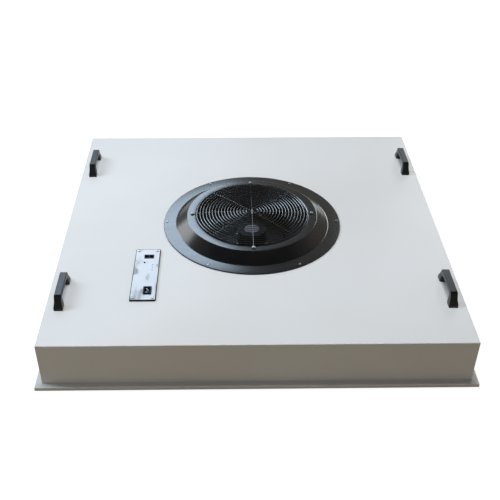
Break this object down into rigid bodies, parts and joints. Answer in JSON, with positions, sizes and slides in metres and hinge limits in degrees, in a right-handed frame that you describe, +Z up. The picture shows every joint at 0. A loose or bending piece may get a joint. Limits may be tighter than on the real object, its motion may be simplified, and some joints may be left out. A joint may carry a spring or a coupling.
{
  "type": "fan filter unit",
  "caption": "Flat square ceiling fan filter unit with a lipped steel case, black inlet ring with wire guard, handles, connection panel and a pleated filter below.",
  "frame": {"origin": "centre of the footprint, on the plane that the lip stands on", "axes": "+Z up through the fan's axis, +X to the right of the connection panel, +Y away from the panel's mains inlet end"},
  "size_m": [1.212, 1.212, 0.1888],
  "materials": {
    "white_steel": "fine satin powder coat",
    "zinc_steel": "zinc coated sheet",
    "foam": "open-cell foam",
    "black_ring": "satin black",
    "zinc_screw": "bright zinc",
    "guard_wire": "plated wire",
    "handle_nylon": "moulded, satin",
    "black_rubber": "matte",
    "stainless": "bright",
    "black_plastic": "moulded",
    "gold_contact": "plated",
    "pin_metal": "nickel plated",
    "dark_lens": "clear, dark",
    "red_lens": "clear, red",
    "pale_lens": "clear, pale",
    "board_green": "solder mask",
    "brass_pillar": "turned",
    "cable_sheath": "matte",
    "cast_aluminium": "die cast",
    "bearing_steel": "ground",
    "lamination": "stacked sheet",
    "copper_wire": "enamelled",
    "black_rotor": "satin black",
    "magnet": "sintered",
    "impeller_black": "moulded",
    "badge_grey": "plain disc",
    "filter_aluminium": "anodised extrusion",
    "filter_medium": "glass fibre paper",
    "white_mesh": "powder coat"
  },
  "bodies": {
    "housing": {"case": "white_steel", "filter_seat": "zinc_steel", "acoustic_lining": "foam", "inlet_ring": "black_ring", "ring_screws": "zinc_screw", "finger_guard": "guard_wire", "guard_screws": "zinc_screw", "handle_front_left": "handle_nylon", "handle_front_right": "handle_nylon", "handle_rear_left": "handle_nylon", "handle_rear_right": "handle_nylon", "handle_screws": "zinc_screw", "panel_gasket": "black_rubber", "panel_plate": "stainless", "panel_screws": "zinc_screw", "data_jack_left": "black_plastic", "data_jack_right": "black_plastic", "jack_contacts": "gold_contact", "mains_inlet": "black_plastic", "inlet_pins": "pin_metal", "status_lamps": "dark_lens", "power_lamp": "red_lens", "sensor_lens": "pale_lens", "key_switch": "black_plastic", "circuit_board": "board_green", "board_parts": "black_plastic", "board_pillars": "brass_pillar", "control_box": "zinc_steel", "cable_gland": "black_plastic", "motor_cable": "cable_sheath", "deck_grommet": "black_rubber", "fan_deck": "zinc_steel", "deck_studs": "zinc_screw", "deck_mounts": "black_rubber", "deck_nuts": "zinc_screw", "motor_base": "cast_aluminium", "motor_screws": "zinc_screw", "bearings": "bearing_steel", "stator": "lamination", "windings": "copper_wire", "filter_frame": "filter_aluminium", "pleat_pack": "filter_medium", "filter_gasket": "black_rubber", "face_guard": "white_mesh", "filter_clamps": "zinc_steel", "clamp_screws": "zinc_screw"},
    "fan": {"rotor": "black_rotor", "magnet_ring": "magnet", "shaft": "bearing_steel", "impeller": "impeller_black", "rotor_screws": "zinc_screw", "rotor_badge": "badge_grey"},
    "key": {"push_key": "black_plastic"}
  },
  "joints": [
    {"name": "fan_spin", "type": "hinge", "parent": "housing", "child": "fan", "pos_m": [0, 0, 0.1], "axis": [0, 0, 1], "continuous": true},
    {"name": "key_press", "type": "slide", "parent": "housing", "child": "key", "axis": [0, 0, -1], "range_m": [0, 0.0008], "stiffness_N_per_m": 800, "springref_m": -0.0002}
  ]
}
